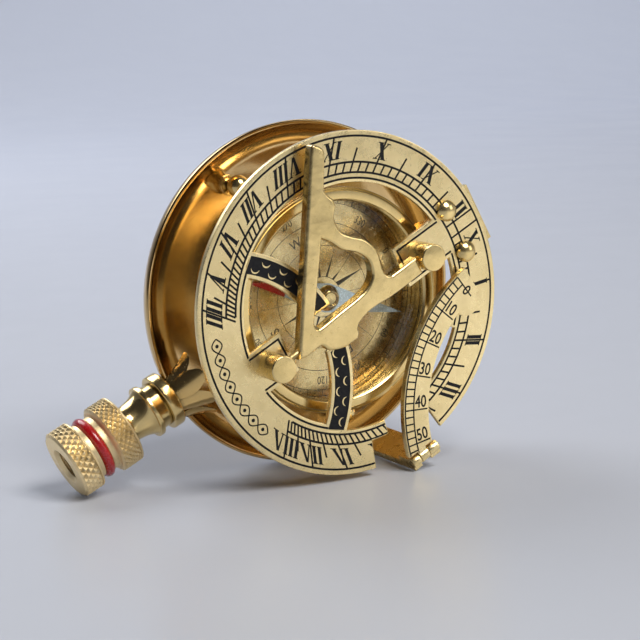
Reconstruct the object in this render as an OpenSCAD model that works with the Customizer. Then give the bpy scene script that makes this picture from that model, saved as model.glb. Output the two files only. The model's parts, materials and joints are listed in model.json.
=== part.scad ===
/* [Hour ring] */
// Outside diameter of the hour ring
ring_d = 73.4; // [73.4:0.1:73.6]
// Thickness of the hour ring
ring_t = 1.2; // [1.0:0.1:1.3]
// Height of the ring's face above the flat back of the dish
ring_face = 26.5; // [26.4:0.1:27.2]
// Direction of noon, counter-clockwise from the row's +X axis
noon_angle = 27.8; // [27:0.1:32]

/* [Dish and compass] */
// Outside diameter of the dish's rim
dish_d = 76; // [76:0.1:76.4]
// Depth of the dish from its flat back to its rim
dish_h = 5.7; // [5.5:0.1:6.0]
// Outside diameter of the compass case
case_d = 48.8; // [48:0.1:49.2]
// Length of the compass needle
needle_len = 39.6; // [34:0.2:42]

/* [Gnomon] */
// Thickness of the gnomon, which is also the width of the noon gap
gnomon_t = 2.8; // [2.4:0.1:2.9]
// Diameter of the two gnomon posts
post_d = 5.8; // [5.4:0.1:6.0]
// Height of the posts above the ring's face
post_h = 5.8; // [5.6:0.1:6.4]

/* [Latitude arc] */
// Outer radius of the latitude arc
arc_r = 36.4; // [36.2:0.1:36.5]
// Width of the latitude arc
arc_w = 6.4; // [6.0:0.1:6.5]
// Thickness of the latitude arc
arc_t = 1.5; // [1.2:0.1:1.6]

/* [Stick coupling] */
// Diameter of the knurled cap
cap_d = 15.5; // [15.1:0.1:15.7]
// Diameter of the threaded socket for the stick
socket_d = 6.4; // [6.0:0.1:6.6]

/* [Hidden] */
$fn = 96;

brass = "#d8c07a";
polished_gold = "#c98f32";
dark_brass = "#8a6a2c";
gap = 0.15;        // free space beside a moving piece
running = 0.05;    // radial clearance of a shaft that turns in a hole
eps = 0.01;        // overlap that keeps a cut clean
far = 60;          // longer than any radius in the object

// Ring, measured from its centre
ring_r = ring_d / 2;
ring_back = ring_face - ring_t;
inner_r = 27.1;           // inner edge beside the tick band
margin_r = 25.9;          // inner edge where a plain margin is left
numeral_r = 30.4;         // inside of the numeral band
notch = [-110, -81.3];    // notch in the numeral band, beside the arc's lugs
gate = [-102, -79.5];     // opening in the tick band, under the folded arc
plain_margins = [[130, 228], [-45, 82]];
lug_w = 9.6;
north_lug = [13.8, 27.2];
south_lug = [-27.2, -17.6];
band_centre = -34.8;      // the enamelled band is an arc about this point
band_r = [25.1, 30.5];
band_slot = [-3.1, 5.2];  // gap in the band that the gnomon's lobe drops through

// Gnomon, hinged between the posts
north_post = 19.2;
south_post = -22.7;
pivot_z = ring_face + 3.0;
pivot_r = 0.75;
rivet_x = [-4.7, 5.8];
rivet_y = 29.5;
rivet_r = 1.1;
rivet_head_r = 2.3;

// Ring hinge, close under the ring on the noon side
hinge_y = 30.0;
hinge_z = ring_back - 3.1;
hinge_r = 1.6;
hinge_pin_r = 0.8;
leaf_x = [-6.2, 7.4];
knuckle_x = 2.05;

// Latitude arc, hinged beside the ring and folded over it
arc_hinge_x = 38.1;
arc_z = ring_face + 1.7;
arc_centre = [44.1, 30.0];
arc_span = [9.5, 84.5];
arc_hinge_r = 1.3;
arc_pin_r = 0.6;
tongue_y = [-3.25, -0.95];
lug_y = [-5.5, 1.9];
arc_root_x = 36.4;
bracket_x = [37.2, 40.0];
bracket_inner = 38.4;

// Dish and compass
dish_r = dish_d / 2;
dish_t = 1.2;
case_r = case_d / 2;
case_wall = 1.5;
case_top = 19.8;
bezel_top = 21.2;
bezel_in = 21.4;
dial_z = 13.3;
dial_t = 0.7;
glass_z = 18.5;
glass_t = 1.2;
needle_z = 15.6;         // underside of the needle
needle_t = 0.35;
needle_w = 6.6;
needle_angle = 137;
sleeve_r = 1.5;           // the needle sits on the cap's sleeve
pivot_pin_r = 0.45;

// Levelling screws
screw_west = [94, 28.9];  // angle from noon and radius
screw_east = [-99, 30.3];
ball_r = 2.45;
ball_z = 5.5;
screw_r = 1.2;
boss_r = 2.3;
boss_top = 1.8;

// Stick coupling, opposite noon; its axis leans a little and passes east of the centre
stem_z = 3.4;
stem_x = 3.8;
stem_lean = 2.54;
cap_r = cap_d / 2;
collar_r = cap_r;
socket_r = socket_d / 2;
spigot_r = 5.0;
s_crown = 31.2;    // places along the stem, from the point nearest the disc's centre
s_stud = 35.0;
s_flange = [38.3, 40.9];
s_recess = 43.4;
s_lip = 44.5;
s_collar = [50.5, 55.5];
s_neck_end = 60.45;
s_cap = [60.5, 65.3];
s_spigot = 62.5;
s_socket = 52.7;
flange_r = 6.3;
neck_r = 6.2;
stud_r = 2.0;
ring_groove_s = 58.1;
cord_r = 1.2;

// The dial frame: x east, y noon, z out of the face, turned into the row's frame
module dial() { rotate([90, 0, 0]) rotate([0, 0, noon_angle - 90]) children(); }

// The stem's axis: z runs outward, away from the disc, opposite noon
module stem() {
    dial() translate([stem_x, 0, stem_z]) rotate([0, 0, -stem_lean]) rotate([90, 0, 0]) children();
}

// Direction at angle a, counter-clockwise from noon
function heading(a) = [-sin(a), cos(a)];

// Quadratic curve from p to r, steered by q, without its last point
function bend(p, q, r, n = 8) =
    [for (i = [0:n - 1]) let (t = i / n) (1 - t) * (1 - t) * p + 2 * t * (1 - t) * q + t * t * r];

// Pie slice between two angles from noon
module slice(span) {
    steps = 6;
    polygon(concat([[0, 0]],
        [for (i = [0:steps]) far * heading(span[0] + (span[1] - span[0]) * i / steps)]));
}

module tube(r_out, r_in, h) {
    difference() {
        cylinder(r = r_out, h = h);
        translate([0, 0, -eps]) cylinder(r = r_in, h = h + 2 * eps);
    }
}

// A stretch of turned bar between two places on the stem
module turned(s0, s1, r) { translate([0, 0, s0]) cylinder(r = r, h = s1 - s0); }

module at_angle(a, r) { rotate([0, 0, a]) translate([0, r, 0]) children(); }

// Dish: flat back, coved wall and narrow flat lip
module base_dish() {
    cove = 4.2;
    flat_r = dish_r - cove - 1;
    color(polished_gold) difference() {
        dial() rotate_extrude() polygon(concat(
            [[0, 0]],
            bend([flat_r, 0], [dish_r - 0.4, 0], [dish_r, dish_h - 0.6], 10),
            [[dish_r, dish_h - 0.6], [dish_r - 0.15, dish_h], [dish_r - 1.1, dish_h]],
            bend([dish_r - 1.25, dish_h - 0.3], [dish_r - 1.7, dish_t], [flat_r, dish_t], 10),
            [[flat_r, dish_t], [0, dish_t]]));
        dial() for (s = [screw_west, screw_east]) at_angle(s[0], s[1])
            translate([0, 0, -eps]) cylinder(r = screw_r + running, h = dish_t + 2 * eps);
        stem() turned(s_stud, dish_r + 1, stud_r);
    }
}

// Case: a tube with a raised floor that carries the compass
module compass_case() {
    floor_t = 1.2;
    color(brass) dial() difference() {
        union() {
            translate([0, 0, dish_t]) tube(case_r, case_r - case_wall, case_top - dish_t);
            translate([0, 0, dial_z - floor_t]) cylinder(r = case_r - case_wall + eps, h = floor_t);
            translate([0, 0, glass_z - 0.6]) tube(case_r - case_wall + eps, case_r - case_wall - 0.8, 0.6);
        }
        translate([0, 0, dial_z - floor_t - eps]) cylinder(r = pivot_pin_r * 2, h = floor_t + 2 * eps);
    }
}

module compass_dial() {
    color("#d9cd92") dial() translate([0, 0, dial_z])
        tube(case_r - case_wall - 0.05, pivot_pin_r * 2, dial_t);
}

module needle_pivot() {
    base_h = 2.2;
    pin_h = 3.7;
    point_h = 0.5;
    color(brass) dial() translate([0, 0, dial_z - 1.2]) {
        cylinder(r = pivot_pin_r * 2, h = base_h);
        cylinder(r = pivot_pin_r, h = pin_h);
        translate([0, 0, pin_h]) cylinder(r1 = pivot_pin_r, r2 = 0.08, h = point_h, $fn = 24);
    }
}

module compass_glass() {
    color([0.8, 0.85, 0.9, 0.3]) dial() translate([0, 0, glass_z])
        cylinder(r = case_r - case_wall - 0.05, h = glass_t);
}

// Bezel: a flat ring with softened edges that holds the glass down
module bezel_ring() {
    soft = 0.35;
    color(brass) dial() rotate_extrude() polygon([
        [bezel_in, case_top], [bezel_in, bezel_top - soft], [bezel_in + soft, bezel_top],
        [case_r - soft, bezel_top], [case_r, bezel_top - soft], [case_r, case_top]]);
}

// Bracket on the case's side, with the middle knuckle of the ring hinge
module hinge_bracket() {
    reach = case_r - 0.6;
    low = hinge_z - 6.4;
    color(brass) dial() difference() {
        translate([-knuckle_x, 0, 0]) rotate([90, 0, 90]) linear_extrude(2 * knuckle_x) union() {
            translate([hinge_y, hinge_z]) circle(r = hinge_r);
            polygon([[reach, low], [reach + 2, low], [hinge_y + hinge_r, hinge_z - 2.4],
                [hinge_y + hinge_r, hinge_z], [hinge_y - hinge_r, hinge_z],
                [hinge_y - hinge_r, hinge_z - 1.4], [reach, low + 3.6]]);
        }
        cylinder(r = case_r, h = case_top + 2);
        translate([-far, hinge_y, hinge_z]) rotate([0, 90, 0]) cylinder(r = hinge_pin_r, h = 2 * far);
    }
}

module ring_hinge_pin() {
    over = 0.2;
    color(dark_brass) dial() translate([leaf_x[0] - over, hinge_y, hinge_z])
        rotate([0, 90, 0]) cylinder(r = hinge_pin_r, h = leaf_x[1] - leaf_x[0] + 2 * over);
}

// Upright beside the ring: it stands on the dish's rim and ends in two lugs
module arc_bracket() {
    foot = 1.6;
    color(brass) dial() difference() {
        union() {
            translate([bracket_inner, lug_y[0], foot])
                cube([bracket_x[1] - bracket_inner, lug_y[1] - lug_y[0], ring_back - 1 - foot]);
            translate([bracket_inner - 1, lug_y[0], foot])
                cube([1 + eps, lug_y[1] - lug_y[0], dish_h + 1.4 - foot]);
            for (y = [[lug_y[0], tongue_y[0] - gap], [tongue_y[1] + gap, lug_y[1]]]) {
                translate([bracket_x[0], y[0], ring_back - 2])
                    cube([bracket_x[1] - bracket_x[0], y[1] - y[0], arc_z + 0.4 - ring_back + 2]);
                translate([arc_hinge_x, y[0], arc_z + 0.1]) rotate([-90, 0, 0])
                    cylinder(r = arc_hinge_r - 0.1, h = y[1] - y[0]);
            }
        }
        translate([0, 0, -eps]) cylinder(r = dish_r, h = dish_h + 0.02);
        translate([arc_hinge_x, lug_y[0] - 1, arc_z]) rotate([-90, 0, 0])
            cylinder(r = arc_pin_r, h = lug_y[1] - lug_y[0] + 2);
    }
}

module arc_hinge_pin() {
    color(dark_brass) dial() translate([arc_hinge_x, lug_y[0] - 0.15, arc_z]) rotate([-90, 0, 0])
        cylinder(r = arc_pin_r, h = lug_y[1] - lug_y[0] + 0.3);
}

// Tapped bosses in the dish that carry the levelling screws
module screw_bosses() {
    color(brass) dial() for (s = [screw_west, screw_east]) at_angle(s[0], s[1])
        translate([0, 0, dish_t]) tube(boss_r, screw_r + running, boss_top - dish_t);
}

// Ball-headed levelling screw
module levelling_screw(place) {
    color(brass) dial() at_angle(place[0], place[1]) {
        cylinder(r = screw_r, h = ball_z - 1);
        translate([0, 0, ball_z]) sphere(r = ball_r);
    }
}
module levelling_screw_west() { levelling_screw(screw_west); }
module levelling_screw_east() { levelling_screw(screw_east); }

// Outline of one leaf, rooted at the flange and pointing into the dish
module leaf_outline() {
    root = 2.0;
    belly = [4.4, 35.0];
    shoulder = [1.7, s_crown + 0.8];
    tip = [0.9, s_crown];
    polygon(concat(
        bend([-root, s_flange[0]], [-belly[0], belly[1]], [-shoulder[0], shoulder[1]]),
        bend([-shoulder[0], shoulder[1]], [-tip[0], tip[1]], [0, s_crown], 4),
        bend([0, s_crown], tip, shoulder, 4),
        bend(shoulder, belly, [root, s_flange[0]]),
        [[root, s_flange[0]]]));
}

// Crown of leaves, a flaring shell cut into leaves, open where the dish passes
module leaf_crown() {
    shell = 0.6;
    root_r = 4.6;
    tip_r = 8.4;
    color(polished_gold) difference() {
        stem() {
            intersection() {
                rotate_extrude() polygon(concat(
                    bend([root_r, s_flange[0]], [root_r + 0.6, s_crown + 3], [tip_r, s_crown]),
                    [[tip_r, s_crown], [tip_r + shell, s_crown]],
                    bend([tip_r + shell, s_crown + 0.1], [root_r + 0.6 + shell, s_crown + 3],
                        [root_r + shell, s_flange[0]]),
                    [[root_r + shell, s_flange[0]]]));
                for (a = [-60:40:60]) rotate([0, 0, a]) rotate([90, 0, 180])
                    linear_extrude(tip_r * 2) leaf_outline();
            }
            turned(s_flange[0] - 0.5, s_flange[0], root_r + shell);
        }
        dial() translate([0, 0, -10]) cylinder(r = dish_r + 0.02, h = dish_h + 10.05);
        stem() turned(dish_r - 2, s_flange[0] + 1, stud_r);
    }
}

module flange_disc() {
    soft = 0.4;
    color(brass) stem() difference() {
        rotate_extrude() polygon([[0, s_flange[0]], [flange_r - soft, s_flange[0]],
            [flange_r, s_flange[0] + soft], [flange_r, s_flange[1] - soft],
            [flange_r - soft, s_flange[1]], [0, s_flange[1]]]);
        turned(s_flange[0] - 1, s_flange[1] + 1, stud_r);
    }
}

// Neck: recess, thin lip and bell that narrows to the collar
module finial_neck() {
    recess_r = 5.1;
    lip_r = 6.0;
    throat_r = 4.1;
    color(brass) stem() difference() {
        rotate_extrude() polygon(concat(
            [[0, s_flange[1]], [recess_r, s_flange[1]], [recess_r, s_recess],
                [lip_r - 0.3, s_recess], [lip_r, s_recess + 0.3], [lip_r, s_lip - 0.3],
                [lip_r - 0.3, s_lip]],
            bend([lip_r - 0.5, s_lip], [throat_r + 0.2, s_lip + 1.2], [throat_r, s_lip + 4], 10),
            [[throat_r, s_lip + 4], [throat_r + 0.5, s_collar[0]], [0, s_collar[0]]]));
        turned(s_flange[1] - 1, s_collar[0] + 1, stud_r);
    }
}

module finial_stud() {
    color(dark_brass) stem() turned(s_stud, s_socket - 0.2, stud_r);
}

// Collar: knurled band, smooth neck with a groove for the cord, and the cap's spigot
module knurled_collar() {
    soft = 0.5;
    color(brass) stem() difference() {
        rotate_extrude() polygon([[0, s_collar[0]], [collar_r - soft, s_collar[0]],
            [collar_r, s_collar[0] + soft], [collar_r, s_collar[1] - soft],
            [collar_r - soft, s_collar[1]], [neck_r, s_collar[1]], [neck_r, s_neck_end],
            [spigot_r, s_neck_end], [spigot_r, s_spigot], [0, s_spigot]]);
        turned(s_collar[0] - 1, s_socket, stud_r);
        turned(s_socket, s_spigot + 1, socket_r);
        translate([0, 0, ring_groove_s]) rotate_extrude() translate([neck_r - 0.35, 0]) circle(r = cord_r);
    }
}

module o_ring() {
    color("red") stem() translate([0, 0, ring_groove_s]) rotate_extrude()
        translate([neck_r - 0.35, 0]) circle(r = cord_r);
}

// Cap: turns on the collar's spigot and carries the mouth of the socket
module knurled_cap() {
    soft = 0.5;
    mouth = 0.8;
    color(brass) stem() difference() {
        rotate_extrude() polygon([[socket_r, s_cap[0]], [cap_r - soft, s_cap[0]],
            [cap_r, s_cap[0] + soft], [cap_r, s_cap[1] - soft], [cap_r - soft, s_cap[1]],
            [socket_r + mouth, s_cap[1]], [socket_r, s_cap[1] - mouth]]);
        turned(s_cap[0] - 1, s_spigot + running, spigot_r + running);
    }
}

// Plan of the hour ring with its lugs, band, notch and gate
module ring_plan() {
    difference() {
        union() {
            difference() {
                circle(r = ring_r);
                circle(r = inner_r);
            }
            for (m = plain_margins) intersection() {
                difference() {
                    circle(r = inner_r + 0.1);
                    circle(r = margin_r);
                }
                slice(m);
            }
            for (y = [north_lug, south_lug])
                translate([-lug_w / 2, y[0]]) square([lug_w, y[1] - y[0]]);
            intersection() {
                circle(r = inner_r + 0.1);
                translate([0, band_centre]) difference() {
                    circle(r = band_r[1]);
                    circle(r = band_r[0]);
                }
                union() {
                    translate([-far, -far]) square([far + band_slot[0], 2 * far]);
                    translate([band_slot[1], -far]) square([far, 2 * far]);
                }
            }
        }
        difference() {
            slice(notch);
            circle(r = numeral_r);
        }
        intersection() {
            slice(gate);
            circle(r = numeral_r + 0.1);
        }
    }
}

module hour_ring() {
    color(brass) dial() difference() {
        translate([0, 0, ring_back]) linear_extrude(ring_t) ring_plan();
        for (x = rivet_x) translate([x, rivet_y, ring_back - 1])
            cylinder(r = rivet_r, h = ring_t + 2);
        for (y = [north_post, south_post]) translate([0, y, ring_back - 1])
            cylinder(r = post_d / 4, h = ring_t + 2);
    }
}

// Leaf under the ring, with the two outer knuckles of the ring hinge
module ring_hinge_leaf() {
    leaf_t = 1.2;
    leaf_y = [26.4, 37.5];
    side = knuckle_x + gap;
    color(brass) dial() difference() {
        union() {
            difference() {
                translate([leaf_x[0], leaf_y[0], ring_back - leaf_t])
                    cube([leaf_x[1] - leaf_x[0], leaf_y[1] - leaf_y[0], leaf_t]);
                translate([-side, hinge_y, hinge_z]) rotate([0, 90, 0])
                    cylinder(r = hinge_r + gap, h = 2 * side);
            }
            for (x = [[leaf_x[0], -side], [side, leaf_x[1]]]) {
                translate([x[0], hinge_y, hinge_z]) rotate([0, 90, 0])
                    cylinder(r = hinge_r, h = x[1] - x[0]);
                translate([x[0], hinge_y - hinge_r, hinge_z])
                    cube([x[1] - x[0], 2 * hinge_r, ring_back - leaf_t - hinge_z + eps]);
            }
        }
        translate([-far, hinge_y, hinge_z]) rotate([0, 90, 0])
            cylinder(r = hinge_pin_r + running, h = 2 * far);
        for (x = rivet_x) translate([x, rivet_y, hinge_z + hinge_r]) cylinder(r = rivet_r, h = 5);
    }
}

// Two domed rivets that hold the leaf
module ring_rivets() {
    dome_h = 1.25;
    skirt = 0.75;
    dome_r = (rivet_head_r * rivet_head_r + dome_h * dome_h) / (2 * dome_h);
    color(brass) dial() for (x = rivet_x) translate([x, rivet_y, 0]) {
        translate([0, 0, hinge_z + hinge_r + 0.05])
            cylinder(r = rivet_r, h = ring_face - hinge_z - hinge_r);
        translate([0, 0, ring_face]) cylinder(r = rivet_head_r, h = skirt);
        translate([0, 0, ring_face + skirt + dome_h - dome_r]) intersection() {
            sphere(r = dome_r);
            translate([0, 0, dome_r - dome_h]) cylinder(r = rivet_head_r + 1, h = dome_h + 1);
        }
    }
}

// Two posts riveted to the lugs; each has a cross hole for the gnomon's pivot
module gnomon_posts() {
    soft = 0.25;
    color(brass) dial() for (y = [north_post, south_post]) difference() {
        translate([0, y, ring_back]) {
            cylinder(r = post_d / 4, h = ring_t + 1);
            translate([0, 0, ring_t]) cylinder(r = post_d / 2, h = post_h - soft);
            translate([0, 0, ring_t + post_h - soft])
                cylinder(r1 = post_d / 2, r2 = post_d / 2 - soft, h = soft);
        }
        translate([0, y - far / 2, pivot_z]) rotate([-90, 0, 0])
            cylinder(r = pivot_r + running, h = far);
    }
}

// Outline of the gnomon lying flat: style bar, scroll and base bar
module gnomon_plan() {
    difference() {
        polygon(concat(
            [[1.4, -18.3]],
            bend([1.4, -18.3], [1.6, -14.2], [1.5, -11.9], 4),
            bend([1.5, -11.9], [4.6, -11.9], [5.3, -7.4], 6),
            [[5.1, -3.4], [3.3, -3.3]],
            bend([2.5, -2.5], [1.4, 0.6], [1.95, 4.2], 6),
            [[2.1, 11.4], [1.95, 16.1], [-1.9, 16.1], [-2.6, 8.6]],
            bend([-2.8, 8.1], [-7.4, 9.9], [-9.6, 8.6], 8),
            bend([-9.6, 8.6], [-13.6, 7.2], [-14.9, 4.4], 8),
            bend([-14.9, 4.4], [-16.2, 2.4], [-18.9, 3.2], 6),
            bend([-18.9, 3.2], [-20.6, 3.3], [-21.4, 4.3], 4),
            bend([-21.4, 4.3], [-23.4, 5.9], [-24.9, 4.2], 6),
            [[-26.4, 4.1], [-31.5, 7.3]],
            bend([-31.5, 7.3], [-33.4, 8.3], [-34.9, 7.4], 6),
            bend([-34.9, 7.4], [-35.9, 6.7], [-35.7, 6.0], 4),
            [[-35.7, 6.0], [0.0, -17.7]]));
        polygon(concat(
            [[-17.9, -1.3], [-3.4, -11.6]],
            bend([-2.8, -11.8], [-2.0, -11.6], [-1.9, -10.8], 3),
            [[-2.2, -0.6]],
            bend([-2.4, 0.1], [-2.7, 4.4], [-4.6, 5.2], 6),
            bend([-4.6, 5.2], [-8.2, 7.4], [-10.9, 4.3], 8),
            bend([-10.9, 4.3], [-12.8, 1.2], [-15.9, 0.4], 6)));
    }
}

module gnomon() {
    color(brass) dial() difference() {
        translate([0, 0, pivot_z - gnomon_t / 2]) linear_extrude(gnomon_t) gnomon_plan();
        translate([0, -far, pivot_z]) rotate([-90, 0, 0]) cylinder(r = pivot_r, h = far - 14.5);
        translate([0, 13, pivot_z]) rotate([-90, 0, 0]) cylinder(r = pivot_r, h = far);
    }
}

module gnomon_pivots() {
    color(dark_brass) dial() for (y = [[-23.4, -14.5], [13, 19.9]])
        translate([0, y[0], pivot_z]) rotate([-90, 0, 0]) cylinder(r = pivot_r, h = y[1] - y[0]);
}

// Latitude arc: curved strip with a tongue and barrel between the lugs
module latitude_arc() {
    lobe_a = 77.5;
    lobe_r = 3.4;
    color(brass) dial() difference() {
        union() {
            translate([0, 0, arc_z - arc_t / 2]) linear_extrude(arc_t) difference() {
                translate(arc_centre) union() {
                    intersection() {
                        difference() {
                            circle(r = arc_r);
                            circle(r = arc_r - arc_w);
                        }
                        slice([180 - arc_span[1], 180 - arc_span[0]]);
                    }
                    translate((arc_r - arc_w + 0.4) * heading(180 - lobe_a)) circle(r = lobe_r);
                }
                translate([arc_root_x, -far]) square([far, 2 * far]);
            }
            translate([arc_root_x - 1.5, tongue_y[0], arc_z - arc_t / 2])
                cube([arc_hinge_x - arc_root_x + 1.5, tongue_y[1] - tongue_y[0], arc_t]);
            translate([arc_hinge_x, tongue_y[0], arc_z]) rotate([-90, 0, 0])
                cylinder(r = arc_hinge_r, h = tongue_y[1] - tongue_y[0]);
        }
        translate([arc_hinge_x, -far, arc_z]) rotate([-90, 0, 0])
            cylinder(r = arc_pin_r + running, h = 2 * far);
    }
}

// Needle: a long lozenge, fixed to its cap
module compass_needle() {
    half = needle_len / 2;
    color("firebrick") dial() rotate([0, 0, needle_angle]) translate([0, 0, needle_z])
        linear_extrude(needle_t) difference() {
            polygon([[0, half], [needle_w / 2, 0], [0, -half], [-needle_w / 2, 0]]);
            circle(r = sleeve_r);
        }
}

// Cap of the needle, bored from below for the pivot's point
module needle_cap() {
    below = 0.5;
    bore = 1.4;
    hub_r = [2.9, 1.9];
    hub_h = 1.9;
    color(brass) dial() translate([0, 0, needle_z - below]) difference() {
        union() {
            cylinder(r = sleeve_r, h = needle_t + below);
            translate([0, 0, needle_t + below]) cylinder(r1 = hub_r[0], r2 = hub_r[1], h = hub_h);
        }
        translate([0, 0, -eps]) cylinder(r = pivot_pin_r + running, h = bore);
    }
}

base_dish();
compass_case();
compass_dial();
needle_pivot();
compass_glass();
bezel_ring();
hinge_bracket();
ring_hinge_pin();
arc_bracket();
arc_hinge_pin();
screw_bosses();
leaf_crown();
flange_disc();
finial_neck();
finial_stud();
knurled_collar();
o_ring();
knurled_cap();
hour_ring();
ring_hinge_leaf();
ring_rivets();
gnomon_posts();
gnomon();
gnomon_pivots();
latitude_arc();
compass_needle();
needle_cap();
levelling_screw_west();
levelling_screw_east();
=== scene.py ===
"""Looks of the pocket sundial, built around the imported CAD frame.

Shapes are drawn in the dial's own frame, in millimetres: x east, y noon, z out of the face.
The matrices DIAL and STEM carry them into the row's frame, in metres.
"""

import json
import math

import bmesh
import bpy
from mathutils import Matrix, Vector
from mathutils.geometry import delaunay_2d_cdt


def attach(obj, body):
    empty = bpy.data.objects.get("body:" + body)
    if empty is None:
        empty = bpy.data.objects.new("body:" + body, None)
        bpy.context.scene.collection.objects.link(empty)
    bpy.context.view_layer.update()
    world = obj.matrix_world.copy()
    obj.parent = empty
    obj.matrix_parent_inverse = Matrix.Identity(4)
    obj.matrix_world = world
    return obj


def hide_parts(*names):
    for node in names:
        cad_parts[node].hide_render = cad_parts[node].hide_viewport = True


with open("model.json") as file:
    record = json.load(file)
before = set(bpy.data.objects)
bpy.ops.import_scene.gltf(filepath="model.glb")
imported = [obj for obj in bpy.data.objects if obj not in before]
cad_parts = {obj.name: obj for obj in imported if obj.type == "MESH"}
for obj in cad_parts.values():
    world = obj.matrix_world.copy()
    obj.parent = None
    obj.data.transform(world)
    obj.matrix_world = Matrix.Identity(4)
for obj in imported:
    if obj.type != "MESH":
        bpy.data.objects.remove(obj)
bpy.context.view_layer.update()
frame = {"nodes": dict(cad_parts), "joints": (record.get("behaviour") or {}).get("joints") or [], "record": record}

# ---------------------------------------------------------------- frames

MM = 0.001
joints = {j["name"]: j for j in frame["joints"]}
mounts = {m["name"]: m for m in frame["record"]["mounts"]}
NOON = Vector(joints["gnomon_fold"]["axis"]).normalized()
FACE = Vector((0, -1, 0))
EAST = NOON.cross(FACE)
DIAL = Matrix((EAST, NOON, FACE)).transposed().to_4x4() @ Matrix.Scale(MM, 4)
TO_DIAL = DIAL.inverted()
socket = mounts["stick_socket"]
socket_mouth = TO_DIAL @ Vector(socket["pos_m"])
outward = (TO_DIAL.to_3x3() @ Vector(socket["axis"])).normalized()
STEM_ORIGIN = socket_mouth + outward * (socket_mouth.y / -outward.y)
STEM_LEAN = math.atan2(outward.x, -outward.y)    # the stem isn't quite in line with noon
STEM = (DIAL @ Matrix.Translation(STEM_ORIGIN) @ Matrix.Rotation(STEM_LEAN, 4, "Z")
        @ Matrix.Rotation(math.radians(90), 4, "X"))


def span(node, into=None):
    """Lowest and highest corner of a CAD node in the dial's frame, in millimetres."""
    into = into or TO_DIAL
    points = [into @ v.co for v in frame["nodes"][node].data.vertices]
    return (Vector([min(p[i] for p in points) for i in range(3)]),
            Vector([max(p[i] for p in points) for i in range(3)]))


def reach(node, into=None):
    """Largest distance of a CAD node from the z axis of a frame, in millimetres."""
    into = into or TO_DIAL
    return max((into @ v.co).xy.length for v in frame["nodes"][node].data.vertices)


def heading(a):
    """Unit vector at angle a in degrees, counter-clockwise from noon."""
    return Vector((-math.sin(math.radians(a)), math.cos(math.radians(a))))


# ---------------------------------------------------------------- driving dimensions, mm

ring_lo, ring_hi = span("hour_ring")
RING_R = reach("hour_ring")
RING_FACE = ring_hi.z
RING_BACK = ring_lo.z
LINE_R = RING_R - 1.2            # radius of the outer engraved line
BAND_OUT = 0.8467 * LINE_R       # circles of the tick band
BAND_IN = 0.7859 * LINE_R
INNER_LINE = 0.753 * LINE_R
INNER_EDGE = 27.1
MARGIN_EDGE = 25.9
NUMERAL_FOOT = 0.975 * LINE_R    # numerals stand with their feet outward
NUMERAL_TOP = 0.872 * LINE_R
FOOT_Y = -0.42 * LINE_R          # hour lines spring from here
HOUR_START = 1.7
HOUR_STEP = 15.87
HOURS = 8
DIVISIONS = 6
NOON_GAP = 1.4
LUG_HALF = 4.8
NORTH_LUG_Y = 13.8
SOUTH_LUG_Y = -17.6
BAND_CENTRE_Y = -34.8
BAND_EDGES = (25.1, 30.5)
BAND_ENAMEL = (25.9, 29.7)
BAND_SLOT = (-3.1, 5.2)
LINE_W = 0.46
TICK_W = 0.42
ENGRAVING = 0.14                 # depth of the engraved lines
NOTCH = (-110.0, -81.3)
GATE = (-102.0, -79.5)
NOTCH_R = 30.4
PLAIN_MARGINS = ((130, 228), (-45, 82))

# ---------------------------------------------------------------- mesh tools


def link(obj):
    bpy.context.scene.collection.objects.link(obj)
    return obj


def sharpen(bm, angle):
    for e in bm.edges:
        flat = len(e.link_faces) == 2 and e.calc_face_angle(0) < math.radians(angle)
        e.smooth = flat
    for f in bm.faces:
        f.smooth = True


def piece(name, body, verts, faces, mats, picks=None, place=None, nodes=(),
          angle=32, weighted=False, recalc=True):
    """Makes one mesh piece. picks gives each face its material's number."""
    place = place or DIAL
    mesh = bpy.data.meshes.new(name)
    mesh.from_pydata([place @ Vector(v) for v in verts], [], faces)
    for m in mats if isinstance(mats, (list, tuple)) else [mats]:
        mesh.materials.append(m)
    if picks:
        mesh.polygons.foreach_set("material_index", picks)
    bm = bmesh.new()
    bm.from_mesh(mesh)
    bmesh.ops.remove_doubles(bm, verts=bm.verts, dist=1e-7)
    if recalc:
        bmesh.ops.recalc_face_normals(bm, faces=bm.faces)
    sharpen(bm, angle)
    bm.to_mesh(mesh)
    bm.free()
    obj = link(bpy.data.objects.new(name, mesh))
    if weighted:
        mod = obj.modifiers.new("weighted", "WEIGHTED_NORMAL")
        mod.keep_sharp = True
    if nodes:
        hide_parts(*nodes)
    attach(obj, body)
    return obj


class Solid:
    """Collects the vertices and faces of a piece made of several closed shells."""

    def __init__(self):
        self.verts = []
        self.faces = []
        self.picks = []

    def add(self, verts, faces, pick=0, place=None):
        base = len(self.verts)
        self.verts += [tuple(place @ Vector(v)) if place else tuple(v) for v in verts]
        self.faces += [[i + base for i in f] for f in faces]
        self.picks += list(pick) if isinstance(pick, (list, tuple)) else [pick] * len(faces)
        return self


def rounded(points, radius, steps=4, closed=False):
    """A polyline whose corners are rounded off."""
    out = []
    count = len(points)
    for i, p in enumerate(points):
        p = Vector(p)
        if not closed and i in (0, count - 1):
            out.append(p)
            continue
        a = Vector(points[i - 1])
        b = Vector(points[(i + 1) % count])
        u = a - p
        v = b - p
        if u.length < 1e-9 or v.length < 1e-9:
            out.append(p)
            continue
        r = min(radius, 0.45 * u.length, 0.45 * v.length)
        start = p + u.normalized() * r
        end = p + v.normalized() * r
        for k in range(steps + 1):
            t = k / steps
            out.append((1 - t) ** 2 * start + 2 * t * (1 - t) * p + t * t * end)
    return out


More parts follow.
